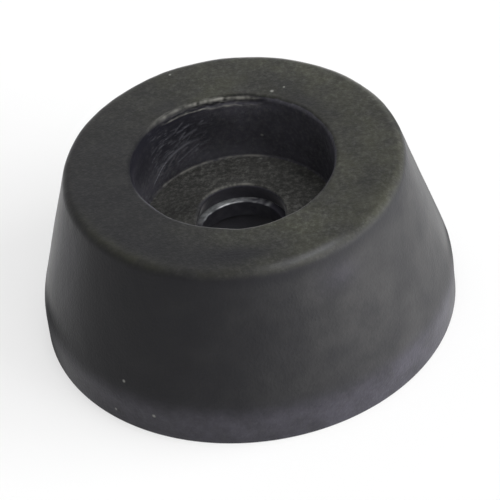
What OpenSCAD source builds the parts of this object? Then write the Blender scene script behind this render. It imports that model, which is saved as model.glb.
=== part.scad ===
// Screw-on rubber foot: a tapered rubber moulding with a deep recess for a screw's head in its
// small end, and a flat steel washer moulded into the web below the recess.
// Millimetres. The origin is the centre of the large face and +Z points out of the recess.

/* [Body] */
// Diameter of the large face, the one that is screwed against the equipment
base_d = 38; // [35:0.5:50]
// Overall height
height = 17; // [15:0.5:24]
// Diameter of the small face, to the corner before it is rounded
top_d = 30.8; // [27:0.1:34]
// Height of the straight land on the large end, to the corner before it is blended
land_h = 3.5; // [2:0.1:6]
// Radius that blends the land into the tapered side
blend_r = 6; // [1:0.5:12]
// Rounding of the large face's outer edge
base_edge_r = 0.2; // [0.1:0.05:1]
// Rounding of the small face's outer edge
top_edge_r = 0.95; // [0.3:0.05:2]

/* [Head recess] */
// Diameter of the recess
recess_d = 18.3; // [14:0.1:22]
// Depth of the recess at its wall
recess_depth = 7.1; // [4:0.1:10]
// How much higher the floor is at the screw hole than at the recess wall
floor_rise = 0.75; // [0:0.05:1]
// Rounding of the recess mouth
mouth_r = 0.5; // [0.1:0.05:1]
// Fillet between the recess wall and its floor
floor_fillet_r = 0.25; // [0.1:0.05:1]

/* [Screw hole] */
// Diameter of the hole through the rubber, at the washer and below it
hole_d = 8.8; // [8.4:0.1:11]
// Diameter of the hole at the recess floor, where the rubber closes in a little
hole_lip_d = 8.2; // [7.9:0.1:8.8]
// Rounding of the hole's edge in the recess floor
hole_edge_r = 0.25; // [0.05:0.05:0.5]

/* [Washer] */
// Outer diameter of the washer
washer_d = 16; // [13:0.5:20]
// Bore of the washer, which the screw passes through
washer_bore_d = 7.5; // [4:0.1:7.8]
// Thickness of the washer
washer_t = 1.6; // [1:0.1:2]
// Rubber between the washer and the recess floor, beside the screw hole
washer_cover_t = 1.75; // [0.8:0.05:2.2]
// Roll-over that the punch leaves on the washer's upper edges
washer_roll_r = 0.15; // [0.1:0.05:0.4]

/* [Hidden] */
// Segments in a full turn
turn_fn = 128;
// Largest angle between neighbouring points of a rounded corner, and fewest steps in one
corner_step = 9;
corner_min_steps = 6;

hole_lip_z = height - recess_depth + floor_rise;
washer_top_z = hole_lip_z - washer_cover_t;
washer_bottom_z = washer_top_z - washer_t;

// Half-sections as [radius, height, rounding] corners, in order round the outline
rubber_corners = [
    [hole_d / 2, 0, 0],
    [base_d / 2, 0, base_edge_r],
    [base_d / 2, land_h, blend_r],
    [top_d / 2, height, top_edge_r],
    [recess_d / 2, height, mouth_r],
    [recess_d / 2, height - recess_depth, floor_fillet_r],
    [hole_lip_d / 2, hole_lip_z, hole_edge_r],
    [hole_d / 2, washer_top_z, 0],
    [washer_d / 2, washer_top_z, washer_roll_r],
    [washer_d / 2, washer_bottom_z, 0],
    [hole_d / 2, washer_bottom_z, 0]
];

washer_corners = [
    [washer_bore_d / 2, washer_bottom_z, 0],
    [washer_d / 2, washer_bottom_z, 0],
    [washer_d / 2, washer_top_z, washer_roll_r],
    [washer_bore_d / 2, washer_top_z, washer_roll_r]
];

function unit(v) = v / norm(v);

// Angle a brought within half a turn of zero
function half_turn(a) = a - 360 * round(a / 360);

// Points of an arc of radius r that is tangent to the lines from corner p to points a and b
function corner_arc(a, p, b, r) =
    let (
        to_a = unit(a - p),
        to_b = unit(b - p),
        half = acos(to_a * to_b) / 2,
        centre = p + unit(to_a + to_b) * r / sin(half),
        first = p + to_a * r / tan(half) - centre,
        last = p + to_b * r / tan(half) - centre,
        start = atan2(first.y, first.x),
        sweep = half_turn(atan2(last.y, last.x) - start),
        steps = max(corner_min_steps, ceil(abs(sweep) / corner_step))
    )
    [for (i = [0:steps]) centre + r * [cos(start + sweep * i / steps), sin(start + sweep * i / steps)]];

function flat(c) = [c.x, c.y];

// Closed outline through a list of corners, each rounded by its own radius or left sharp
function rounded_outline(corners) =
    let (n = len(corners))
    [for (i = [0:n - 1])
        let (c = corners[i])
        each c[2] > 0
            ? corner_arc(flat(corners[(i + n - 1) % n]), flat(c), flat(corners[(i + 1) % n]), c[2])
            : [flat(c)]];

module turned(corners) {
    rotate_extrude($fn = turn_fn)
        polygon(rounded_outline(corners));
}

module rubber_body() {
    color("#2b2b2c")
        turned(rubber_corners);
}

module steel_washer() {
    color("#a9abae")
        turned(washer_corners);
}

rubber_body();
steel_washer();
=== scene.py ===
"""Looks of a screw-on rubber foot: moulded rubber round a plated steel washer, on a pale lit floor.

Blender works in metres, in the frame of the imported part: the foot stands on z = 0, and +Z points out of
its recess. Sizes in the classes below are in millimetres, and angles round the foot are in degrees from
+X towards +Y.
"""

from __future__ import annotations

import logging
import math
from dataclasses import dataclass, field
from enum import Enum
from typing import Any

import bpy
import numpy as np
from bpy.types import ID, Material, Node, NodeSocket, NodeTree, Object, World
from mathutils import Matrix, Vector

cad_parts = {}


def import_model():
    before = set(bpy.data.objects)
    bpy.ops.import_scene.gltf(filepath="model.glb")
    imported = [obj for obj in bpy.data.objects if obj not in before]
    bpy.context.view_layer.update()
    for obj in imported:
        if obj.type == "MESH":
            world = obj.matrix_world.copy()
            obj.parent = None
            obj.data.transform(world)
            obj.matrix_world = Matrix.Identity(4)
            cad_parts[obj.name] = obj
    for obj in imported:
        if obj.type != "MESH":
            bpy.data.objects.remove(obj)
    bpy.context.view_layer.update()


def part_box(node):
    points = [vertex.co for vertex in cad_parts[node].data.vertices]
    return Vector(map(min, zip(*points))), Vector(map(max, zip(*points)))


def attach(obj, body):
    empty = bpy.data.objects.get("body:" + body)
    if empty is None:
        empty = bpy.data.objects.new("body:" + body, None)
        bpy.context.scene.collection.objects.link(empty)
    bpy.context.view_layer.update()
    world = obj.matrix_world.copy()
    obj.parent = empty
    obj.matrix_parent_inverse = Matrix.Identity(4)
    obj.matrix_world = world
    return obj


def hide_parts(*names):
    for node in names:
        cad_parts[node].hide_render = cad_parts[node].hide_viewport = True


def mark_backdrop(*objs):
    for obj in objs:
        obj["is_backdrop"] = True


LOG = logging.getLogger("rubber_foot")
MM = 0.001
# Step in millimetres at which an outline is sampled, and the colour of plain light
OUTLINE_STEP = 0.005
WHITE = "#ffffff"


class Mark(Enum):
    """Point attributes of the pieces, which say to their materials how strong each finish, and each painted
    light and shade, is.
    """

    BLOOM = "bloom"
    HAZE_AND_PAINTED_LIGHT = "haze"
    GRIT = "grit"
    DRY = "dry"
    TORN_AND_HIGHLIGHT = "torn"
    SCUFFED_AND_PAINTED_LIGHT = "scuffed"
    SCRAPED = "scraped"
    BURNISHED_AND_HIGHLIGHT = "burnished"
    FILM_AND_SHADE = "film"


def linear_rgba(hex_colour: str) -> tuple[float, ...]:
    """Turns an sRGB hex colour such as #2b2b2c into linear RGBA.

    Args:
        hex_colour: Six hex digits after a hash sign.

    Returns:
        Linear red, green and blue, and an alpha of 1.
    """
    coded = np.array([int(hex_colour[i : i + 2], 16) for i in (1, 3, 5)]) / 255
    linear = np.where(coded <= 0.04045, coded / 12.92, ((coded + 0.055) / 1.055) ** 2.4)
    return (*(float(c) for c in linear), 1.0)


def smooth_step(low: float, high: float, value: np.ndarray) -> np.ndarray:
    """Rises smoothly from 0 at low to 1 at high, as 3 t^2 - 2 t^3, or falls where low is above high."""
    t = np.clip((value - low) / (high - low), 0, 1)
    return t * t * (3 - 2 * t)


def hump(value: np.ndarray, centre: float, width: float) -> np.ndarray:
    """A bell curve exp(-((value - centre) / width)^2)."""
    return np.exp(-(((value - centre) / width) ** 2))


def add_object(name: str, data: ID) -> Object:
    """Adds an object to the scene.

    Args:
        name: Name of the object.
        data: Its mesh, light or camera.

    Returns:
        The new object.
    """
    added = bpy.data.objects.new(name, data)
    bpy.context.scene.collection.objects.link(added)
    return added


# Surfaces


def unit(vector: np.ndarray) -> np.ndarray:
    """The vector divided by its length."""
    return vector / np.linalg.norm(vector)


@dataclass(frozen=True)
class Corner:
    """A corner of a turned half-section: its radius, its height and the rounding it gets."""

    radius: float
    height: float
    rounding: float = 0.0

    @property
    def point(self) -> np.ndarray:
        """The corner as a (radius, height) vector."""
        return np.array([self.radius, self.height])


@dataclass(frozen=True)
class Spacing:
    """How close the rings of a turned surface lie within reach of one point of its half-section."""

    radius: float
    height: float
    reach: float
    gap: float


@dataclass(frozen=True)
class Ripples:
    """Smooth unevenness of unit strength: a sum of waves, each with whole periods round the foot."""

    seed: int
    round_mm: float
    across_mm: float
    at_radius: float
    waves: int = 28

    def at(self, turn: np.ndarray, across: np.ndarray) -> np.ndarray:
        """Adds cos(k turn + c across + p) over the waves, with k, c and p drawn once from the seed.

        Args:
            turn: Angle round the foot, in radians.
            across: Length across the direction of turning, in millimetres.

        Returns:
            The sum, scaled to a standard deviation of 1.
        """
        draw = np.random.default_rng(self.seed)
        rounds = np.rint(draw.normal(0, math.tau * self.at_radius / self.round_mm, self.waves))
        crossings = draw.normal(0, math.tau / self.across_mm, self.waves)
        phases = draw.uniform(0, math.tau, self.waves)
        total = sum(np.cos(k * turn + c * across + p) for k, c, p in zip(rounds, crossings, phases))
        return total / math.sqrt(self.waves / 2)


def corner_arc(before: np.ndarray, corner: Corner, after: np.ndarray, step: float = 3.0) -> np.ndarray:
    """Rounds one corner with the arc that touches both of its edges.

    The centre lies on the bisector at rounding / sin(half angle), and the arc runs between the two points
    of contact.

    Args:
        before: The corner before this one, (radius, height).
        corner: The corner to round.
        after: The corner after this one.
        step: Largest angle between neighbouring points, in degrees.

    Returns:
        Points of the arc in order, or the corner itself where it is sharp.
    """
    if corner.rounding <= 0:
        return corner.point[None, :]
    to_before = unit(before - corner.point)
    to_after = unit(after - corner.point)
    half = math.acos(float(to_before @ to_after)) / 2
    centre = corner.point + unit(to_before + to_after) * corner.rounding / math.sin(half)
    first = corner.point + to_before * corner.rounding / math.tan(half) - centre
    last = corner.point + to_after * corner.rounding / math.tan(half) - centre
    start = math.atan2(first[1], first[0])
    sweep = (math.atan2(last[1], last[0]) - start + math.pi) % math.tau - math.pi
    turn = start + sweep * np.linspace(0, 1, max(4, math.ceil(abs(math.degrees(sweep)) / step)) + 1)
    return centre + corner.rounding * np.stack([np.cos(turn), np.sin(turn)], axis=1)


def turned_rings(corners: list[Corner], spacings: list[Spacing], widest: float) -> np.ndarray:
    """Places the rings of a turned surface along its rounded outline.

    The outline is sampled finely, and each sample asks for the smallest gap that a spacing within reach
    names. A rounded corner asks for a quarter of its rounding. Rings stand where the running sum of
    step / gap passes a whole number, and a last division into equal steps of that sum closes the round.

    Args:
        corners: The half-section's corners, in order.
        spacings: Places where the rings lie closer.
        widest: The gap everywhere else.

    Returns:
        Ring points (radius, height), with the first not repeated at the end.
    """
    points = [c.point for c in corners]
    arcs = [corner_arc(points[i - 1], c, points[(i + 1) % len(points)]) for i, c in enumerate(corners)]
    outline = np.concatenate([*arcs, arcs[0][:1]])
    along = np.concatenate([[0.0], np.cumsum(np.linalg.norm(np.diff(outline, axis=0), axis=1))])
    fine = np.union1d(np.arange(0, along[-1], OUTLINE_STEP), along)
    samples = np.stack([np.interp(fine, along, outline[:, i]) for i in (0, 1)], axis=1)
    turned = [c for c in corners if c.rounding > 0]
    rounded = [Spacing(c.radius, c.height, 1.2 * c.rounding, c.rounding / 4) for c in turned]
    gap = np.full(len(fine), widest)
    for place in [*spacings, *rounded]:
        near = np.hypot(samples[:, 0] - place.radius, samples[:, 1] - place.height) < place.reach
        gap[near] = np.minimum(gap[near], place.gap)
    count = np.concatenate([[0.0], np.cumsum(np.diff(fine) / gap[1:])])
    stops = np.interp(np.linspace(0, count[-1], round(count[-1]) + 1)[:-1], count, fine)
    return np.stack([np.interp(stops, along, outline[:, i]) for i in (0, 1)], axis=1)


@dataclass
class TurnedGrid:
    """A turned surface as arrays of columns by rings, closed both ways, to be dented and then meshed."""

    rings: np.ndarray
    columns: int
    marks: dict[Mark, np.ndarray] = field(default_factory=dict)

    def __post_init__(self) -> None:
        """Spreads the rings round the axis and works out which way the surface faces.

        Going round the half-section anticlockwise, the outward normal is the direction of travel turned to
        its right: (dr, dz) becomes (dz, -dr).
        """
        shape = (self.columns, len(self.rings))
        self.turn = np.linspace(0, math.tau, self.columns, endpoint=False)[:, None]
        self.radius = np.broadcast_to(self.rings[:, 0], shape).copy()
        self.height = np.broadcast_to(self.rings[:, 1], shape).copy()
        travel = np.roll(self.rings, -1, axis=0) - np.roll(self.rings, 1, axis=0)
        travel = travel / np.linalg.norm(travel, axis=1, keepdims=True)
        self.normal = np.stack([travel[:, 1], -travel[:, 0]], axis=1)

    def degrees_from(self, centre: float) -> np.ndarray:
        """The angle of each column from the direction centre, from -180 to 180."""
        return (np.degrees(self.turn) - centre + 180) % 360 - 180

    @property
    def degrees(self) -> np.ndarray:
        """The angle of each column, from -180 to 180."""
        return self.degrees_from(0)

    def distance(self, radius: float, height: float) -> np.ndarray:
        """How far each point lies from one point of the half-section."""
        return np.hypot(self.radius - radius, self.height - height)

    def lift(self, height: np.ndarray) -> None:
        """Moves the surface outwards along its normal."""
        self.radius = self.radius + height * self.normal[:, 0]
        self.height = self.height + height * self.normal[:, 1]

    def mesh(self, name: str) -> Object:
        """Makes the mesh: point (i, j) is (r cos a, r sin a, z), and each mark becomes a point attribute.

        Args:
            name: Name of the object.

        Returns:
            The new object, with its place in its mesh.
        """
        columns, rings = self.radius.shape
        x = self.radius * np.cos(self.turn)
        y = self.radius * np.sin(self.turn)
        points = np.stack([x, y, self.height], axis=-1)
        i, j = (g.ravel() for g in np.meshgrid(np.arange(columns), np.arange(rings), indexing="ij"))
        corner_i = np.stack([i, i + 1, i + 1, i], axis=1) % columns
        corner_j = np.stack([j, j, j + 1, j + 1], axis=1) % rings
        mesh = bpy.data.meshes.new(name)
        mesh.from_pydata(points.reshape(-1, 3) * MM, [], corner_i * rings + corner_j)
        mesh.polygons.foreach_set("use_smooth", np.ones(len(mesh.polygons), dtype=bool))
        for mark, amount in self.marks.items():
            layer = mesh.attributes.new(mark.value, "FLOAT", "POINT")
            values = np.broadcast_to(amount, (columns, rings)).astype(np.float32)
            layer.data.foreach_set("value", values.ravel())
        mesh.update()
        return add_object(name, mesh)


@dataclass(frozen=True)
class Sector:
    """A bell-shaped stretch round the foot: where its middle is, its width in degrees and its strength."""

    degrees: float
    width: float
    strength: float

    def at(self, grid: TurnedGrid) -> np.ndarray:
        """The strength times a bell curve of the angle from the middle."""
        return self.strength * hump(grid.degrees_from(self.degrees), 0, self.width)


@dataclass(frozen=True)
class Stretch:
    """A flat-topped stretch round the foot: the angles where it starts, is full, fades and ends."""

    start: float
    full: float
    fades: float
    end: float

    def at(self, degrees: np.ndarray) -> np.ndarray:
        """Rises from 0 at the start to 1 where it is full, and falls from where it fades to the end."""
        return smooth_step(self.start, self.full, degrees) * smooth_step(self.end, self.fades, degrees)


@dataclass(frozen=True)
class Facing:
    """The part of the foot that faces one way: the cosines of the angle where it starts and is full."""

    degrees: float
    start: float
    full: float

    def at(self, grid: TurnedGrid) -> np.ndarray:
        """Steps smoothly from 0 to 1 as the cosine of the angle from the direction rises."""
        return smooth_step(self.start, self.full, np.cos(grid.turn - math.radians(self.degrees)))


# Finishes


def add_node(tree: NodeTree, kind: str, inputs: dict[str, Any] | None = None, **settings: Any) -> Node:
    """Adds a shader node with its links and settings.

    Args:
        tree: The node tree.
        kind: The node's Blender type, without the ShaderNode that it starts with.
        inputs: Values or links by socket identifier. A node stands for its first output in use.
        **settings: Properties of the node.

    Returns:
        The new node.
    """
    node = tree.nodes.new(f"ShaderNode{kind}")
    for key, value in settings.items():
        setattr(node, key, value)
    for key, value in (inputs or {}).items():
        socket = next(s for s in node.inputs if s.identifier == key)
        if isinstance(value, Node):
            value = next(s for s in value.outputs if s.enabled)
        if isinstance(value, NodeSocket):
            tree.links.new(value, socket)
        else:
            socket.default_value = value
    return node


def new_tree(material: Material | World) -> NodeTree:
    """Empties the node tree of a material or a world.

    Args:
        material: The material or the world.

    Returns:
        Its node tree.
    """
    material.use_nodes = True
    material.node_tree.nodes.clear()
    return material.node_tree


def per_mm(size: float) -> float:
    """The scale of a texture whose features are about size millimetres across."""
    return 1 / (size * MM)


@dataclass(frozen=True)
class DustGrain:
    """A pale grain of dust that sticks to the rubber: its centre and its radius."""

    x: float
    y: float
    z: float
    radius: float


@dataclass(frozen=True)
class Speckle:
    """Small patches from noise: their size, how much of the noise shows, and how strong they are."""

    size: float
    low: float
    high: float
    least: float
    most: float
    detail: float = 1.0
    graininess: float = 0.5

    def build(self, tree: NodeTree, place: NodeSocket) -> Node:
        """Maps noise between low and high onto least to most.

        Args:
            tree: The node tree.
            place: Where each point lies.

        Returns:
            The node of the pattern.
        """
        shape = {"Scale": per_mm(self.size), "Detail": self.detail, "Roughness": self.graininess}
        noise = add_node(tree, "TexNoise", {"Vector": place, **shape})
        limits = {"From Min": self.low, "From Max": self.high, "To Min": self.least, "To Max": self.most}
        return add_node(tree, "MapRange", {"Value": noise, **limits}, interpolation_type="SMOOTHSTEP")


@dataclass(frozen=True)
class Grain:
    """A fine relief from noise: how wide its bumps are and how high."""

    size: float
    lift: float
    detail: float = 2.0

    def build(self, tree: NodeTree, place: NodeSocket) -> Node:
        """Makes the relief from noise.

        Args:
            tree: The node tree.
            place: Where each point lies.

        Returns:
            The node of the bump.
        """
        shape = {"Vector": place, "Scale": per_mm(self.size), "Detail": self.detail}
        noise = add_node(tree, "TexNoise", shape)
        return add_node(tree, "Bump", {"Height": noise, "Distance": self.lift * MM})


@dataclass(frozen=True)
class MouldedRubber:
    """Black carbon-filled rubber, compression moulded.

    The moulded skin is dull and scatters light at a glancing angle, so edges look grey. A warm grey bloom
    of wax, speckled with mould talc, lies on what faces up, heavier towards the lamps, where it is partly
    painted light, and is taken off at the recess's mouth as painted shade. A bluish haze lies on the land
    and in the recess, where it is also painted light and shade. The mould's core left the recess wall dry,
    scraped and scuffed. Where flash was torn off at the recess, the open rubber is paler and rougher, and
    its tint paints highlights along the foot of the wall and the rim of the hole. The scuff tint paints a
    highlight on the front edge. The grain and the specks are drawn coarse enough to show.
    """

    black: str = "#141418"
    # Bloom's tint; laid heavier towards the lamps, it is partly painted light
    bloom: str = "#3f4030"
    # Bluish haze tint; in the recess and the hole it also stands in for painted light and shade
    haze: str = "#3d3b44"
    talc: str = "#7f7f7b"
    # Scuff tint, also used for the painted highlight on the front edge and painted light in the recess and
    # the hole
    scuffed: str = "#66666c"
    # Torn rubber's tint, which also paints highlights along the foot of the wall and the hole's rim
    torn: str = "#767570"
    dust: str = "#7e7e7a"
    roughness: float = 0.65
    dry_roughness: float = 0.9
    dry_specular_level: float = 0.0
    burnished_roughness: float = 0.4
    torn_roughness: float = 0.8
    specular_level: float = 0.23
    sheen: float = 0.41
    sheen_roughness: float = 0.33
    grain: Grain = Grain(size=0.25, lift=0.022)
    mottle: Speckle = Speckle(3.0, 0.3, 0.7, least=0.4, most=1.1, detail=5.0, graininess=0.72)
    talc_specks: Speckle = Speckle(0.45, 0.4, 0.8, least=0.0, most=0.45, detail=4.0, graininess=0.8)
    scrapes: Speckle = Speckle(0.9, 0.5, 0.72, least=0.0, most=1.0, detail=5.0, graininess=0.7)
    scrape_lean: float = 30.0
    scrape_stretch: float = 7.0
    grains: tuple[DustGrain, ...] = (
        DustGrain(4.4, 9.23, 17.0, 0.22),
        DustGrain(5.55, 9.58, 17.0, 0.14),
        DustGrain(-4.75, 13.6, 17.0, 0.16),
        DustGrain(2.98, 8.65, 12.46, 0.2),
        DustGrain(2.6, 8.32, 9.95, 0.22),
        DustGrain(-12.21, -14.01, 5.03, 0.2),
        DustGrain(-9.98, -16.17, 2.33, 0.22),
        DustGrain(-13.37, -13.5, 1.27, 0.18),
    )

    def build(self) -> Material:
        """Makes the material: a skin with a soft shine, mixed with a dry one where that is marked.

        Returns:
            The material.
        """
        material = bpy.data.materials.new("moulded_rubber")
        tree = new_tree(material)
        place = add_node(tree, "TexCoord").outputs["Object"]
        marks: dict[Mark, NodeSocket] = {}
        for mark in (m for m in Mark if m is not Mark.FILM_AND_SHADE):
            layer = add_node(tree, "Attribute", attribute_name=mark.value)
            marks[mark] = layer.outputs["Fac"]
        colour = self.tint(tree, place, marks)
        rough: Any = self.roughness
        for mark, level in (Mark.BURNISHED_AND_HIGHLIGHT, self.burnished_roughness), (Mark.TORN_AND_HIGHLIGHT, self.torn_roughness):
            mixed = {"Factor_Float": marks[mark], "A_Float": rough, "B_Float": level}
            rough = add_node(tree, "Mix", mixed)
        base = {"Base Color": colour, "Normal": self.grain.build(tree, place)}
        shine = {"Specular IOR Level": self.specular_level, "Roughness": rough}
        velvet = {"Sheen Weight": self.sheen, "Sheen Roughness": self.sheen_roughness}
        dull = {"Specular IOR Level": self.dry_specular_level, "Roughness": self.dry_roughness}
        skin = add_node(tree, "BsdfPrincipled", {**base, **shine, **velvet})
        dry = add_node(tree, "BsdfPrincipled", {**base, **dull})
        shader = add_node(tree, "MixShader", {"Fac": marks[Mark.DRY], "Shader": skin, "Shader_001": dry})
        add_node(tree, "OutputMaterial", {"Surface": shader})
        return material

    def tint(self, tree: NodeTree, place: NodeSocket, marks: dict[Mark, NodeSocket]) -> Node:
        """Lays the tints over the black one by one, each where its mark, or its mark and pattern, is.

        Args:
            tree: The node tree.
            place: Where each point lies.
            marks: The marks' sockets.

        Returns:
            The node of the colour.
        """
        mottle = self.mottle.build(tree, place)
        specks = self.talc_specks.build(tree, place)
        lean = {"Rotation": (0.0, math.radians(self.scrape_lean), 0.0)}
        drawn_out = {"Scale": (1.0, 1.0, self.scrape_stretch)}
        leaning = add_node(tree, "Mapping", {"Vector": place, **lean, **drawn_out})
        scratches = self.scrapes.build(tree, leaning.outputs["Vector"])
        tints: list[tuple[Any, str]] = []
        for mark, pattern, tint in (
            (Mark.BLOOM, mottle, self.bloom),
            (Mark.HAZE_AND_PAINTED_LIGHT, mottle, self.haze),
            (Mark.GRIT, specks, self.talc),
            (Mark.SCRAPED, scratches, self.scuffed),
        ):
            both = {"Value": marks[mark], "Value_001": pattern}
            tints.append((add_node(tree, "Math", both, operation="MULTIPLY"), tint))
        tints += [(marks[Mark.SCUFFED_AND_PAINTED_LIGHT], self.scuffed), (marks[Mark.TORN_AND_HIGHLIGHT], self.torn)]
        tints.append((self.dust_on(tree, place), self.dust))
        colour: Any = linear_rgba(self.black)
        for amount, tint in tints:
            mixed = {"Factor_Float": amount, "A_Color": colour, "B_Color": linear_rgba(tint)}
            colour = add_node(tree, "Mix", mixed, data_type="RGBA")
        return colour

    def dust_on(self, tree: NodeTree, place: NodeSocket) -> Node:
        """Marks the dust grains: 1 within a fifth of a grain's radius of its centre, 0 from its edge on.

        Args:
            tree: The node tree.
            place: Where each point lies.

        Returns:
            The node of the largest mark of any grain.
        """
        nearest: Any = 0.0
        for grain in self.grains:
            ends = {"Vector": place, "Vector_001": (grain.x * MM, grain.y * MM, grain.z * MM)}
            away = add_node(tree, "VectorMath", ends, operation="DISTANCE")
            edges = {"From Min": grain.radius * MM, "From Max": grain.radius * MM / 5}
            spot = add_node(tree, "MapRange", {"Value": away.outputs["Value"], **edges})
            either = {"Value": spot, "Value_001": nearest}
            nearest = add_node(tree, "Math", either, operation="MAXIMUM")
        return nearest


@dataclass(frozen=True)
class PlatedSteel:
    """Punched steel, zinc plated: matt grey with duller patches, and black under a film of rubber, which on
    the ledge is painted shadow.
    """

    zinc: str = "#d2d4d6"
    dull: str = "#8c8f91"
    # Rubber film's tint, which on the ledge also stands in for shadow
    film_and_shade: str = "#2f2e36"
    roughness: float = 0.6
    dull_roughness: float = 0.75
    specular_level: float = 0.25
    frost: Grain = Grain(size=0.15, lift=0.004)
    patches: Speckle = Speckle(size=1.2, low=0.35, high=0.65, least=0.0, most=1.0, detail=3.0)

    def build(self) -> Material:
        """Makes the material: plating that turns from metal to rubber where the film, partly painted
        shadow, is marked.

        Returns:
            The material.
        """
        material = bpy.data.materials.new("zinc_plated_steel")
        tree = new_tree(material)
        place = add_node(tree, "TexCoord").outputs["Object"]
        tints = {"A_Color": linear_rgba(self.zinc), "B_Color": linear_rgba(self.dull)}
        patches = self.patches.build(tree, place)
        plated = add_node(tree, "Mix", {"Factor_Float": patches, **tints}, data_type="RGBA")
        film = add_node(tree, "Attribute", attribute_name=Mark.FILM_AND_SHADE.value).outputs["Fac"]
        covered = {"Factor_Float": film, "A_Color": plated, "B_Color": linear_rgba(self.film_and_shade)}
        colour = add_node(tree, "Mix", covered, data_type="RGBA")
        metal = add_node(tree, "Math", {"Value": 1.0, "Value_001": film}, operation="SUBTRACT")
        levels = {"A_Float": self.roughness, "B_Float": self.dull_roughness}
        rough = add_node(tree, "Mix", {"Factor_Float": patches, **levels})
        bump = self.frost.build(tree, place)
        surface = {"Base Color": colour, "Metallic": metal, "Roughness": rough, "Normal": bump}
        surface["Specular IOR Level"] = self.specular_level
        shader = add_node(tree, "BsdfPrincipled", surface)
        add_node(tree, "OutputMaterial", {"Surface": shader})
        return material


# Pieces


@dataclass(frozen=True)
class TearPoint:
    """How far the torn mouth runs over the face and down the wall at one angle, and how pale it is."""

    degrees: float
    out: float
    down: float
    pale: float


@dataclass(frozen=True)
class TornMouth:
    """Flash torn off the recess's edge, which leaves a ragged bevel along part of the mouth."""

    points: tuple[TearPoint, ...] = (
        TearPoint(58, 0.02, 0.02, 0.0),
        TearPoint(72, 0.2, 0.98, 0.45),
        TearPoint(87, 0.35, 1.02, 0.75),
        TearPoint(98, 0.43, 1.0, 0.6),
        TearPoint(104, 0.48, 0.75, 0.5),
        TearPoint(112, 0.57, 0.7, 0.34),
        TearPoint(118, 0.62, 0.66, 0.22),
        TearPoint(126, 0.66, 0.55, 0.28),
        TearPoint(136, 0.7, 0.35, 0.05),
        TearPoint(148, 0.5, 0.22, 0.0),
        TearPoint(162, 0.02, 0.02, 0.0),
    )
    whole: float = 0.001
    lip_lift: float = 0.04
    groove: float = 0.09
    slant: float = 0.7

    def tear(self, grid: TurnedGrid, mouth_radius: float, top: float) -> None:
        """Bevels the mouth, and beads and marks the torn rubber.

        With a = (r - mouth radius) / out and b = (top - z) / down, the bevel is the line a + b = 1. A point
        with a + b below 1 moves by (1 - a - b) / 2 in both, which puts it on that line. Where nothing is
        torn, out and down are next to nothing.

        Args:
            grid: The rubber's grid.
            mouth_radius: Radius of the recess wall.
            top: Height of the face that the recess is in.
        """
        at = [p.degrees for p in self.points]
        ragged = 1 + 0.05 * Ripples(11, 2.5, 9, mouth_radius).at(grid.turn, 0)
        chipped = 1 + 0.04 * Ripples(12, 2.5, 9, mouth_radius).at(grid.turn, 0)
        out = ragged * np.interp(grid.degrees, at, [p.out for p in self.points], self.whole, self.whole)
        down = chipped * np.interp(grid.degrees, at, [p.down for p in self.points], self.whole, self.whole)
        a = (grid.radius - mouth_radius) / out
        b = (top - grid.height) / down
        sunk = np.where((a > -0.5) & (b > -0.5), 1 - a - b, -np.inf)
        sink = np.clip(sunk, 0, None) / 2
        grid.radius = grid.radius + sink * out
        grid.height = grid.height - sink * down
        strength = smooth_step(0.02, 0.3, np.minimum(out, down)) * smooth_step(-0.2, 0.05, sunk)
        self.bead(grid, mouth_radius, b + sink, strength)

    def bead(self, grid: TurnedGrid, mouth_radius: float, across: np.ndarray, strength: np.ndarray) -> None:
        """Raises and marks the stubs of the flash along the bevel.

        A beaded lip, a bell curve across the bevel, runs along its upper part, and a thin ridge along its
        inner edge, with a groove between them. On the left the ridge and the groove fade, and the lip
        widens.

        Args:
            grid: The rubber's grid.
            mouth_radius: Radius of the recess wall.
            across: Where each point lies on the bevel, from 0 at the face to 1 at the wall.
            strength: How torn each point is.
        """
        pale = np.interp(grid.degrees, [p.degrees for p in self.points], [p.pale for p in self.points])
        hairs = Ripples(13, 1.6, 0.16, mouth_radius).at(grid.turn, across * 0.8)
        beads = Ripples(14, 1.3, 9, mouth_radius).at(grid.turn, 0)
        split = smooth_step(136, 120, grid.degrees)
        lip = (1 + 0.5 * beads) * hump(across, 0.28, 0.14 + 0.15 * (1 - split))
        ridge = (1 - 0.3 * beads) * hump(across, 0.97, 0.09) * split
        lift = self.lip_lift * (lip + ridge + 0.3 * hairs) - self.groove * hump(across, 0.66, 0.13) * split
        grid.radius = grid.radius - self.slant * strength * lift
        grid.height = grid.height + self.slant * strength * lift
        grid.marks[Mark.TORN_AND_HIGHLIGHT] = np.clip(strength * pale * (lip + 0.7 * ridge + 0.04 + 0.16 * hairs), 0, 1)


@dataclass(frozen=True)
class Stroke:
    """A scuff on the recess wall: a thin raised line between two points, bowed up or down between them."""

    from_degrees: float
    from_height: float
    to_degrees: float
    to_height: float
    bow: float
    width: float
    tone: float
    lift: float

    def draw(self, degrees: np.ndarray, height: np.ndarray, radius: float) -> np.ndarray:
        """How strongly the stroke shows: a bell curve across its parabola, faded over its ends.

        Args:
            degrees: Angle of each point.
            height: Height of each point.
            radius: Radius of the wall.

        Returns:
            From 0 to 1.
        """
        start = np.array([math.radians(self.from_degrees) * radius, self.from_height])
        chord = np.array([math.radians(self.to_degrees) * radius, self.to_height]) - start
        length = float(np.linalg.norm(chord))
        right, up = chord / length
        u = np.radians(degrees) * radius - start[0]
        v = height - start[1]
        along = (u * right + v * up) / length
        side = v * right - u * up
        off = side - math.copysign(1, right) * 4 * self.bow * along * (1 - along)
        ends = smooth_step(-0.02, 0.15, along) * smooth_step(1.02, 0.85, along)
        return hump(off, 0, self.width) * ends


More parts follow.
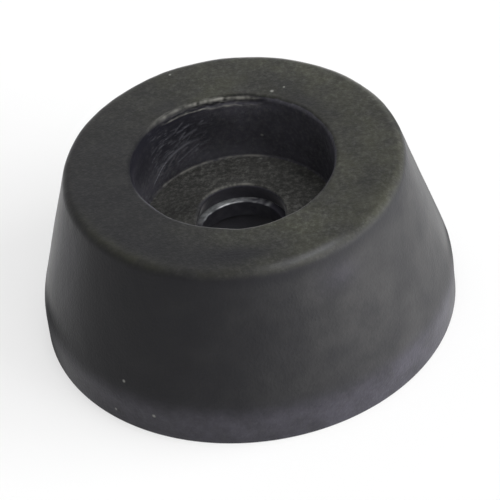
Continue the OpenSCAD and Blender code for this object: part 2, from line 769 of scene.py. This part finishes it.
@dataclass(frozen=True)
class WallScuffs:
    """Marks that the mould's core left on the recess wall when pulled out: a gouge and finer strokes."""

    strokes: tuple[Stroke, ...] = (
        Stroke(146, 10.95, 130, 12.4, 0.05, 0.07, 0.9, 0.06),
        Stroke(132, 12.3, 112, 13.05, 0.1, 0.14, 0.5, 0.03),
        Stroke(125, 11.35, 107, 12.55, -0.08, 0.08, 0.55, 0.04),
        Stroke(111.5, 11.65, 109.5, 11.95, 0.0, 0.12, 0.6, 0.03),
        Stroke(119, 13.7, 108, 14.2, 0.05, 0.12, 0.3, 0.02),
    )
    fine_strokes: int = 80
    fine_bow: float = 0.04
    fine_lift: float = 0.012
    trough: float = 0.8
    seed: int = 5

    def all_strokes(self) -> list[Stroke]:
        """Draws the fine strokes about the placed ones, all leaning the same way.

        Returns:
            The placed strokes, then the fine ones.
        """
        draw = np.random.default_rng(self.seed)
        fine = []
        for _ in range(self.fine_strokes):
            degrees = draw.uniform(106, 146)
            height = draw.uniform(10.6, 15.0)
            reach = draw.uniform(2, 8)
            end = height + reach * draw.uniform(-0.03, 0.13)
            width = draw.uniform(0.05, 0.1)
            tone = draw.uniform(0.08, 0.34)
            line = (degrees, height, degrees - reach, end)
            fine.append(Stroke(*line, self.fine_bow, width, tone, self.fine_lift))
        return [*self.strokes, *fine]

    def scratch(self, grid: TurnedGrid, wall_radius: float, floor: float, top: float) -> None:
        """Raises the strokes on the wall, each with a trough along its lower side, and marks them.

        Args:
            grid: The rubber's grid.
            wall_radius: Radius of the recess wall.
            floor: Height of the recess floor.
            top: Height of the face that the recess is in.
        """
        wall = (np.abs(grid.radius - wall_radius) < 0.1) & (grid.height > floor) & (grid.height < top)
        height = np.zeros_like(grid.radius)
        tone = np.zeros_like(grid.radius)
        for stroke in self.all_strokes():
            shown = stroke.draw(grid.degrees, grid.height, wall_radius)
            below = stroke.draw(grid.degrees, grid.height + 2 * stroke.width, wall_radius)
            height += stroke.lift * (shown - self.trough * below)
            tone = np.maximum(tone, stroke.tone * shown)
        grid.radius = grid.radius - np.where(wall, height, 0)
        grid.marks[Mark.SCUFFED_AND_PAINTED_LIGHT] = np.where(wall, tone, 0)


@dataclass(frozen=True)
class BloomPatch:
    """A patch of the small face where the bloom is thicker, or thinner where its strength is below 0."""

    around: Sector
    radius: float
    width: float

    def at(self, grid: TurnedGrid) -> np.ndarray:
        """The sector times a bell curve across the face."""
        return self.around.at(grid) * hump(grid.radius, self.radius, self.width)


@dataclass
class SoilingAndPaintedLight:
    """Bloom, haze, talc and worn places of the moulding, and painted light and shade, which mark its grid
    for its material.

    Each mark is made of sums and products of smooth steps and bell curves, of where a point lies and which
    way it faces.
    """

    grid: TurnedGrid
    body: RubberBody
    dust_and_light_side: Facing = Facing(20, -0.9, 0.3)
    wall_shade_facing: Facing = Facing(140, 0.3, 0.95)
    dry_shaded_mouth: Facing = Facing(130, 0.2, 0.7)
    shaded_hole: Facing = Facing(172, 0.8, 1.0)
    behind: Stretch = Stretch(60, 80, 125, 150)
    burnished_highlit_front: Stretch = Stretch(-94, -68, -64, -48)
    wall_shade_foot: Sector = Sector(138, 30, 3.4)
    floor_shadow: Sector = Sector(36, 30, 0.42)
    thinner_by_lip: Sector = Sector(155, 16, 0.3)
    dusty_seam: Sector = Sector(105, 35, 0.2)
    darker_face_front_left: Sector = Sector(-130, 40, 0.048)
    paler_front_edge: Sector = Sector(-135, 28, 0.4)
    darker_land_ends: tuple[Sector, ...] = (Sector(-174, 16, 0.75), Sector(2, 26, 0.7))
    left_smudge: Sector = Sector(-166, 11, 0.3)
    front_smudge: Sector = Sector(-61, 7, 0.35)
    dry_shaded_front: Sector = Sector(-128, 55, 0.6)
    worn_land: tuple[Sector, ...] = (Sector(-171, 13, 0.75), Sector(4, 15, 0.8))
    worn_right: Sector = Sector(12, 10, 0.6)
    scraped_wall: Sector = Sector(122, 22, 0.26)
    patches: tuple[BloomPatch, ...] = (
        BloomPatch(Sector(-92, 36, 0.21), 9.9, 1.5),
        BloomPatch(Sector(-62, 14, 0.16), 11.8, 1.2),
        BloomPatch(Sector(-90, 13, -0.22), 12.8, 1.0),
        BloomPatch(Sector(-28, 14, -0.16), 12.9, 1.1),
        BloomPatch(Sector(44, 24, -0.29), 10.2, 1.3),
        BloomPatch(Sector(52, 20, 0.15), 14.0, 0.8),
        BloomPatch(Sector(120, 9, -0.2), 10.5, 0.9),
    )

    def __post_init__(self) -> None:
        """Finds the part of the moulding that each point is on, and how it faces."""
        grid, body = self.grid, self.body
        beside_hole = np.where(grid.height < body.lip - 0.3, body.hole_radius + 0.05, body.lip_radius + 0.1)
        in_recess = (grid.radius < body.recess_radius + 0.2) & (grid.height > body.floor)
        self.in_hole = grid.radius < beside_hole
        self.on_floor = grid.radius < body.recess_radius - 0.15
        self.on_wall = in_recess & ~self.on_floor
        self.on_side = grid.radius > body.top_radius - 0.3
        self.depth = body.height - grid.height
        self.upward = smooth_step(0.3, 0.95, grid.normal[:, 1])
        # Faces the lamps at the right: dust laid with this mask is partly painted light.
        self.dust_and_light = self.dust_and_light_side.at(grid)
        self.land = smooth_step(body.land_height + 1.2, body.land_height - 0.8, grid.height)
        self.below_edge = smooth_step(0.3, 2.5, self.depth)
        self.from_edge = grid.distance(body.top_radius - 0.42, body.height)
        self.floor_corner = hump(grid.distance(body.recess_radius, body.floor), 0, 0.4)

    def mark(self) -> None:
        """Adds every mark to the grid, over those of the tear and the scuffs."""
        self.lay_dust_and_shade()
        self.mark_dust_and_shade()
        self.mark_haze_and_light()
        self.mark_wear()
        self.mark_pale()

    def lay_dust_and_shade(self) -> None:
        """Lays haze and painted light on the wall, dust on the floor and bloom on the side, and finds the
        dry mouth, darkened as painted shade.

        The wall's haze is taken off where it faces the lamps, and at its mouth on the left: painted shade
        where the lamps strike. Less dust on the right of the floor is a painted shadow; it is thinner
        beside the hole, and dust is left along the wall at the back.
        """
        grid, body = self.grid, self.body
        dry_shaded_mouth = self.dry_shaded_mouth.at(grid)
        # Where the wall faces the lamps its haze is taken off down to a depth: painted shade where the
        # lamps strike; the pale haze left elsewhere stands in for fill light.
        foot = body.recess_depth - 0.3 + self.wall_shade_foot.at(grid)
        wall_shade = 0.97 * self.wall_shade_facing.at(grid) * smooth_step(foot, 2.2, self.depth)
        self.wall_haze_and_shade = (1 - wall_shade) * np.maximum(smooth_step(0.2, 1.0, self.depth), 1 - dry_shaded_mouth)
        # Less dust at the back right of the floor is a painted shadow; the dust is also thinner by the hole
        # on the left and heavier by the wall at the back.
        thinned = self.floor_shadow.at(grid) + self.thinner_by_lip.at(grid) * smooth_step(7.4, 5.6, grid.radius)
        thinned = thinned - self.dusty_seam.at(grid) * hump(grid.radius, 8.5, 0.6)
        self.floor_dust = (0.5 + 0.32 * self.dust_and_light) * (1 - thinned) * self.upward
        clouds = 1 + 0.2 * Ripples(51, 7.0, 5.0, body.top_radius).at(grid.turn, grid.height)
        above_land = self.on_side * (1 - self.land) * self.below_edge
        # Bloom on the side is heavier where it faces the lamps: partly painted light.
        self.side_bloom = above_land * (0.1 + 0.9 * self.dust_and_light) * clouds
        # Near the mouth bloom and talc are taken off, which darkens the face towards the recess as painted
        # shade; the same places lose their sheen.
        near = smooth_step(body.recess_radius + 0.65, body.recess_radius, grid.radius)
        near = near * (self.depth < 2 * body.mouth)
        self.mouth = near * np.maximum(dry_shaded_mouth, self.dry_shaded_front.at(grid))

    def mark_dust_and_shade(self) -> None:
        """Marks bloom and talc: settled on what faces up, heavier towards the lamps as partly painted
        light, clouded on the side, thick on one edge, and taken off at the mouth as painted shade.
        """
        grid = self.grid
        # Bloom on the face is heavier towards the lamps, partly painted light, and thinner at the front
        # left.
        face = (0.08 - self.darker_face_front_left.at(grid) + 0.35 * self.dust_and_light**1.2) * self.upward
        patches = sum(patch.at(grid) for patch in self.patches)
        settled = np.where(self.on_floor, self.floor_dust, face)
        settled = settled + self.upward * smooth_step(0.6, 0.2, self.depth) * patches
        edge = self.paler_front_edge.at(grid) * hump(self.from_edge, 0, 0.6)
        bloom = np.where(self.on_wall, 0.15 * self.wall_haze_and_shade, settled + 0.18 * self.side_bloom + edge)
        sparse = 0.12 * self.land * self.on_side + 0.1 * self.upward * (1 - self.dust_and_light)
        grit = np.where(self.on_wall, 0.04 + 0.66 * self.wall_haze_and_shade, settled + sparse)
        grit = np.where(self.on_floor, 2.1 * self.floor_dust, grit)
        # Bloom and talc fade out at the mouth: painted shade.
        grid.marks[Mark.BLOOM] = bloom * (1 - self.mouth)
        grid.marks[Mark.GRIT] = grit * (1 - self.mouth)

    def mark_haze_and_light(self) -> None:
        """Marks the haze in the recess and the hole, partly painted light and shade, on the land away from
        its left and right ends, and in two smudges.
        """
        grid = self.grid
        handled = sum(place.at(grid) for place in self.darker_land_ends)
        smudge = self.left_smudge.at(grid) * smooth_step(6.0, 9.0, grid.height) * self.below_edge
        smudge = smudge + self.front_smudge.at(grid) * hump(grid.height, 14.2, 1.2)
        # The land is hazed paler and bluer, less at its left and right ends.
        side = self.on_side * (0.66 * self.land * (1 - handled) + smudge) + 0.19 * self.side_bloom
        # Haze is halved at the corner of the floor and the wall: painted shade.
        haze = np.where(self.on_wall, self.wall_haze_and_shade, side) * (1 - 0.5 * self.floor_corner)
        haze = np.where(self.on_floor, 0.65 * self.floor_dust, haze)
        # In the hole the haze is painted light, taken down on the left, where the lamps strike, as painted
        # shade.
        grid.marks[Mark.HAZE_AND_PAINTED_LIGHT] = np.where(self.in_hole, 1 - 0.7 * self.shaded_hole.at(grid), haze)

    def mark_wear(self) -> None:
        """Marks rubber without its shine, the patchy scraping of the wall, and the burnished front edge,
        which also carries a painted highlight.
        """
        grid = self.grid
        worn = smooth_step(6.2, 4.2, grid.height) * sum(place.at(grid) for place in self.worn_land)
        worn = np.maximum(worn, self.worn_right.at(grid)) * self.on_side
        scraped = 0.07 + self.scraped_wall.at(grid) * smooth_step(0.6, 1.6, self.depth)
        patchy = 0.6 + 0.5 * Ripples(61, 2.6, 1.4, self.body.recess_radius).at(grid.turn, grid.height)
        grid.marks[Mark.DRY] = np.maximum(self.on_wall, np.maximum(self.mouth, worn))
        grid.marks[Mark.SCRAPED] = self.on_wall * scraped * np.clip(patchy, 0, 1.5)
        grid.marks[Mark.BURNISHED_AND_HIGHLIGHT] = hump(self.from_edge, 0, 0.36) * self.burnished_highlit_front.at(grid.degrees)

    def mark_pale(self) -> None:
        """Adds pale dust, painted light and a painted highlight on the front edge to the scuffs, and ragged
        painted highlights at the back to the torn rubber.

        The dust is on the hazy wall, where it also stands in for fill light, at the wall's foot behind, and
        down the screw hole, where it is painted light. The painted highlights run along the foot of the
        wall and the rim of the hole.
        """
        grid, body, marks = self.grid, self.body, self.grid.marks
        behind = self.behind.at(grid.degrees)
        heap = smooth_step(body.floor + 2.4, body.floor, grid.height) * smooth_step(130, 90, grid.degrees)
        # Pale dust on the hazy wall stands in for fill light, and is halved at the corner with the floor as
        # painted shade.
        on_wall = (0.23 * self.wall_haze_and_shade + 0.36 * behind * heap) * (1 - 0.5 * self.floor_corner)
        # Pale dust down the screw hole, thickest below the washer, is painted light.
        in_hole = self.in_hole * (0.12 + 0.3 * smooth_step(body.lip - 2.6, body.lip - 3.6, grid.height))
        # The burnished front edge also gets a third of the scuff tint: a painted highlight.
        scuffed = np.maximum(marks[Mark.SCUFFED_AND_PAINTED_LIGHT], 0.35 * marks[Mark.BURNISHED_AND_HIGHLIGHT])
        marks[Mark.SCUFFED_AND_PAINTED_LIGHT] = scuffed + np.where(self.on_wall, on_wall, in_hole)
        # Ragged pale lines along the foot of the wall and the rim of the hole at the back are painted
        # highlights.
        seam = hump(grid.distance(body.recess_radius - 0.08, body.floor + 0.1), 0, 0.075)
        rim = hump(grid.distance(body.lip_radius + 0.19, body.lip - 0.01), 0, 0.12)
        ragged = np.clip(0.7 + 0.3 * Ripples(31, 1.4, 9, body.recess_radius).at(grid.turn, 0), 0, 1)
        lines = np.clip(ragged * behind * (1.5 * rim + 1.4 * seam), 0, 1)
        marks[Mark.TORN_AND_HIGHLIGHT] = np.maximum(marks[Mark.TORN_AND_HIGHLIGHT], lines)


@dataclass
class RubberBody:
    """The moulding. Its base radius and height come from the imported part."""

    base_radius: float
    height: float
    top_radius: float = 15.4
    land_height: float = 3.5
    blend: float = 6.0
    base_edge: float = 0.2
    top_edge: float = 0.95
    recess_radius: float = 9.15
    recess_depth: float = 7.1
    floor_rise: float = 0.75
    mouth: float = 0.5
    floor_fillet: float = 0.25
    hole_radius: float = 4.4
    lip_radius: float = 4.1
    lip_edge: float = 0.25
    foot_edge: float = 0.1
    lip_bulge: Sector = Sector(165, 25, 0.35)
    mouth_draw: float = 0.34
    edge_wear: float = 0.12
    lump_lift: float = 0.03
    ring_gap: float = 1.5
    columns: int = 480
    finish: MouldedRubber = MouldedRubber()
    mouth_tear: TornMouth = TornMouth()
    scuffs: WallScuffs = WallScuffs()

    @property
    def floor(self) -> float:
        """Height of the recess floor at the wall."""
        return self.height - self.recess_depth

    @property
    def lip(self) -> float:
        """Height of the recess floor at the screw hole."""
        return self.floor + self.floor_rise

    def corners(self, washer: SteelWasher) -> list[Corner]:
        """Lists the half-section's corners.

        Args:
            washer: The washer that the rubber holds.

        Returns:
            The corners, anticlockwise from the foot of the hole below the washer.
        """
        return [
            Corner(self.hole_radius, 0, self.foot_edge),
            Corner(self.base_radius, 0, self.base_edge),
            Corner(self.base_radius, self.land_height, self.blend),
            Corner(self.top_radius, self.height, self.top_edge),
            Corner(self.recess_radius, self.height, self.mouth),
            Corner(self.recess_radius, self.floor, self.floor_fillet),
            Corner(self.lip_radius, self.lip, self.lip_edge),
            Corner(self.hole_radius, washer.top),
            Corner(washer.radius, washer.top, washer.roll),
            Corner(washer.radius, washer.bottom),
            Corner(self.hole_radius, washer.bottom),
        ]

    def spacings(self, washer: SteelWasher) -> list[Spacing]:
        """Has the rings lie closest on the mouth, close on the wall and the lip, and wider elsewhere.

        Args:
            washer: The washer that the rubber holds.

        Returns:
            The places where the rings lie closer than the ring gap.
        """
        middle = (self.height + self.floor) / 2
        return [
            Spacing(self.recess_radius, self.height, 1.0, 0.065),
            Spacing(self.recess_radius, middle, self.recess_depth / 2 + 0.2, 0.15),
            Spacing(self.recess_radius, self.height, 7.0, 0.4),
            Spacing(self.base_radius, middle, 12.0, 0.6),
            Spacing(self.lip_radius, self.lip, 1.5, 0.2),
            Spacing(self.hole_radius, washer.top, 0.1, 0.05),
            Spacing(self.hole_radius, washer.bottom, 0.1, 0.05),
            Spacing(washer.radius, washer.bottom, 0.1, 0.05),
        ]

    def build(self, washer: SteelWasher) -> Object:
        """Makes the moulding: the turned surface, dented and worn, with its torn mouth and its scuffs.

        The mouth is drawn inwards last, so that everything before it can go by the recess's radius.

        Args:
            washer: The washer that the rubber holds.

        Returns:
            The dressed piece.
        """
        rings = turned_rings(self.corners(washer), self.spacings(washer), self.ring_gap)
        grid = TurnedGrid(rings, self.columns)
        self.swell(grid)
        self.wear_edge(grid)
        self.bulge_lip(grid, washer.top)
        self.mouth_tear.tear(grid, self.recess_radius, self.height)
        self.scuffs.scratch(grid, self.recess_radius, self.floor, self.height)
        SoilingAndPaintedLight(grid, self).mark()
        self.draw_in_mouth(grid)
        piece = grid.mesh("moulded_foot")
        piece.data.materials.append(self.finish.build())
        return piece

    def swell(self, grid: TurnedGrid) -> None:
        """Lifts slow lumps on what shows, fading to nothing near the large face and down the screw hole.

        Args:
            grid: The rubber's grid.
        """
        above_foot = smooth_step(0.3, 2.0, grid.height)
        off_hole = smooth_step(self.hole_radius, self.hole_radius + 1, grid.radius)
        buried = (grid.radius < self.recess_radius + 1) & (grid.height < self.floor - 0.3)
        slow = Ripples(21, 9.0, 8.0, self.top_radius).at(grid.turn, grid.height + grid.radius)
        quick = Ripples(22, 2.4, 2.4, self.top_radius).at(grid.turn, grid.height + grid.radius)
        grid.lift(np.where(buried, 0, above_foot * off_hole) * self.lump_lift * (slow + 0.25 * quick) / 2)

    def wear_edge(self, grid: TurnedGrid) -> None:
        """Rubs the edge of the small face down at the front right, most at its rim.

        Args:
            grid: The rubber's grid.
        """
        outwards = smooth_step(self.top_radius - 1.3, self.top_radius - 0.1, grid.radius)
        high = smooth_step(self.height - 2.5, self.height - 0.5, grid.height)
        rubbed = Stretch(-100, -75, -40, 0).at(grid.degrees)
        grid.height = grid.height - self.edge_wear * outwards * high * rubbed

    def bulge_lip(self, grid: TurnedGrid, washer_top: float) -> None:
        """Pushes the screw hole's lip inwards on the left, where the rubber flowed over the mould's pin.

        Args:
            grid: The rubber's grid.
            washer_top: Height of the washer, below which the hole is true.
        """
        raised = smooth_step(washer_top + 0.1, self.lip - 0.2, grid.height)
        near = smooth_step(self.hole_radius + 1.6, self.hole_radius, grid.radius)
        grid.radius = grid.radius - self.lip_bulge.at(grid) * raised * near

    def draw_in_mouth(self, grid: TurnedGrid) -> None:
        """Draws the recess's mouth inwards at the front left, fading over the face and down the wall.

        Args:
            grid: The rubber's grid.
        """
        front_left = Stretch(-57, -12, 25, 40).at(grid.degrees_from(-128))
        over_face = smooth_step(self.recess_radius + 3.0, self.recess_radius + 0.4, grid.radius)
        down_wall = smooth_step(self.height - 4.0, self.height - 0.4, grid.height)
        grid.radius = grid.radius - self.mouth_draw * front_left * over_face * down_wall


@dataclass
class SteelWasher:
    """The washer moulded into the web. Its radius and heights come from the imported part."""

    radius: float
    bottom: float
    top: float
    bore_radius: float = 3.75
    roll: float = 0.15
    edge: float = 0.08
    # Two bare spots at the back right that stand in for glints.
    glint_spots: tuple[Sector, ...] = (Sector(59, 3.5, 0.33), Sector(47.5, 3.5, 0.33))
    ring_gap: float = 0.4
    columns: int = 256
    finish: PlatedSteel = PlatedSteel()

    def corners(self) -> list[Corner]:
        """Lists the half-section's corners, of which the punch has rolled over the upper two.

        Returns:
            The corners, anticlockwise from the foot of the bore.
        """
        return [
            Corner(self.bore_radius, self.bottom, self.edge),
            Corner(self.radius, self.bottom, self.edge),
            Corner(self.radius, self.top, self.roll),
            Corner(self.bore_radius, self.top, self.roll),
        ]

    def build(self) -> Object:
        """Makes the washer: the turned surface with its film of rubber and painted shadow.

        Returns:
            The dressed piece.
        """
        near_bore = Spacing(self.bore_radius, (self.bottom + self.top) / 2, 1.4, 0.1)
        grid = TurnedGrid(turned_rings(self.corners(), [near_bore], self.ring_gap), self.columns)
        grid.marks[Mark.FILM_AND_SHADE] = self.film_on(grid)
        piece = grid.mesh("plated_washer")
        piece.data.materials.append(self.finish.build())
        return piece

    def film_on(self, grid: TurnedGrid) -> np.ndarray:
        """Marks the rubber that crept over the steel in the bore, and painted shadow on the ledge round it.

        The ledge is bare at the back left, but for blots, and in two small spots at the back right that are
        painted glints.

        Args:
            grid: The washer's grid.

        Returns:
            From 0 on bare steel to 1 on rubber and painted shadow.
        """
        uneven = Ripples(41, 1.2, 0.8, self.bore_radius).at(grid.turn, grid.height + grid.radius)
        spread = Ripples(42, 0.8, 0.5, self.bore_radius).at(grid.turn, grid.radius)
        bore = 0.97 * smooth_step(self.top, self.top - 0.08, grid.height + 0.02 * uneven)
        blots = 0.3 * smooth_step(0.3, 1.3, spread)
        # Only the back left of the ledge is bare; the film over the rest of it is painted shadow.
        bare = smooth_step(62, 100, grid.degrees + 6 * uneven) * smooth_step(170, 135, grid.degrees)
        for spot in self.glint_spots:
            bare = np.maximum(bare, spot.at(grid))
        return np.maximum(bore, 1 - bare * (1 - blots))


# Stage


@dataclass(frozen=True)
class Lamp:
    """A large soft lamp far off. A white card that faces a lamp of level 1 looks white."""

    name: str
    degrees: float
    elevation: float
    level: float
    spread: float = 40.0

    def build(self) -> None:
        """Makes the lamp as a sun, whose strength is its level times pi."""
        data = bpy.data.lights.new(self.name, "SUN")
        data.energy = self.level * math.pi
        data.angle = math.radians(self.spread)
        turn, rise = math.radians(self.degrees), math.radians(self.elevation)
        towards = Vector((math.cos(rise) * math.cos(turn), math.cos(rise) * math.sin(turn), math.sin(rise)))
        lamp = add_object(self.name, data)
        lamp.rotation_mode = "QUATERNION"
        lamp.rotation_quaternion = towards.to_track_quat("Z", "Y")


@dataclass(frozen=True)
class Studio:
    """A white paper floor, washed out to the eye, under soft lamps that are brightest on the right."""

    paper: str = "#eeeeee"
    floor_size_mm: float = 4000.0
    washed_out: float = 0.6
    fill: float = 0.365
    lamps: tuple[Lamp, ...] = (
        Lamp("right_low", 0, 8, 1.38),
        Lamp("right_front_low", 330, 8, 1.46),
        Lamp("right_front_high", 315, 58, 0.26),
        Lamp("back_low", 120, 20, 0.13),
        Lamp("overhead", 0, 85, 0.16),
    )

    def build(self) -> Object:
        """Makes the world, the lamps and the floor.

        Returns:
            None; the floor is marked as stage.
        """
        for lamp in self.lamps:
            lamp.build()
        self.build_world()
        half = self.floor_size_mm / 2 * MM
        corners = [(-half, -half, 0), (half, -half, 0), (half, half, 0), (-half, half, 0)]
        mesh = bpy.data.meshes.new("paper_floor")
        mesh.from_pydata(corners, [], [(0, 1, 2, 3)])
        mesh.materials.append(self.build_paper())
        floor = add_object("paper_floor", mesh)
        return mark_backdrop(floor)

    def build_world(self) -> None:
        """Lights the scene from all round with a weak even fill."""
        world = bpy.data.worlds.new("pale_room")
        bpy.context.scene.world = world
        tree = new_tree(world)
        light = add_node(tree, "Background", {"Color": linear_rgba(WHITE), "Strength": self.fill})
        add_node(tree, "OutputWorld", {"Surface": light})

    def build_paper(self) -> Material:
        """Makes the floor's paper: matt and uncoated, washed out to the eye, and clear from below.

        Returns:
            The material.
        """
        material = bpy.data.materials.new("matt_paper")
        tree = new_tree(material)
        back = add_node(tree, "NewGeometry").outputs["Backfacing"]
        path = add_node(tree, "LightPath")
        eye = path.outputs["Is Camera Ray"]
        below = add_node(tree, "Math", {"Value": back, "Value_001": eye}, operation="MULTIPLY")
        seen: Any = eye
        for ray in ("Is Glossy Ray", "Is Transmission Ray"):
            either = {"Value": path.outputs[ray], "Value_001": seen}
            seen = add_node(tree, "Math", either, operation="MAXIMUM")
        washed = {"Value": seen, "Value_001": self.washed_out}
        glow = add_node(tree, "Math", washed, operation="MULTIPLY")
        paper = add_node(tree, "BsdfDiffuse", {"Color": linear_rgba(self.paper)})
        white = add_node(tree, "Emission", {"Color": linear_rgba(WHITE), "Strength": 1.0})
        lit = add_node(tree, "MixShader", {"Fac": glow, "Shader": paper, "Shader_001": white})
        clear = add_node(tree, "BsdfTransparent")
        shown = add_node(tree, "MixShader", {"Fac": below, "Shader": lit, "Shader_001": clear})
        add_node(tree, "OutputMaterial", {"Surface": shown})
        return material


@dataclass(frozen=True)
class ProductCamera:
    """A long lens that looks down on the foot, tilted a little about its own axis."""

    aim_mm: tuple[float, float, float] = (0.47, -1.64, 7.62)
    elevation: float = 41.12
    roll: float = 7.6
    distance_mm: float = 320.0
    lens: float = 252.3
    sensor: float = 36.0
    nearest_m: float = 0.01
    farthest_m: float = 20.0

    def build(self) -> None:
        """Makes the camera and has the scene look through it."""
        data = bpy.data.cameras.new("product_camera")
        data.lens = self.lens
        data.sensor_width = self.sensor
        data.clip_start = self.nearest_m
        data.clip_end = self.farthest_m
        camera = add_object("product_camera", data)
        rise = math.radians(self.elevation)
        back = Vector((0.0, -math.cos(rise), math.sin(rise)))
        upright = (-back).to_track_quat("-Z", "Y").to_matrix().to_4x4()
        place = Matrix.Translation((Vector(self.aim_mm) + back * self.distance_mm) * MM)
        camera.matrix_world = place @ upright @ Matrix.Rotation(math.radians(-self.roll), 4, "Z")
        bpy.context.scene.camera = camera


def main() -> None:
    """Builds the pieces, the stage and the camera in order."""
    logging.basicConfig(level=logging.INFO, format="%(name)s: %(message)s")
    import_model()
    body_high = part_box("rubber_body")[1]
    washer_low, washer_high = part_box("steel_washer")
    washer = SteelWasher(washer_high.x / MM, washer_low.z / MM, washer_high.z / MM)
    body = RubberBody(body_high.x / MM, body_high.z / MM)
    for piece, node, slot in (
        (body.build(washer), "rubber_body", "rubber"),
        (washer.build(), "steel_washer", "washer_steel"),
    ):
        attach(piece, "root")
        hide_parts(node)
        LOG.info("%s has %d faces", piece.name, len(piece.data.polygons))
    Studio().build()
    ProductCamera().build()
    bpy.context.scene.view_settings.view_transform = "Standard"


if __name__ == "__main__":
    main()
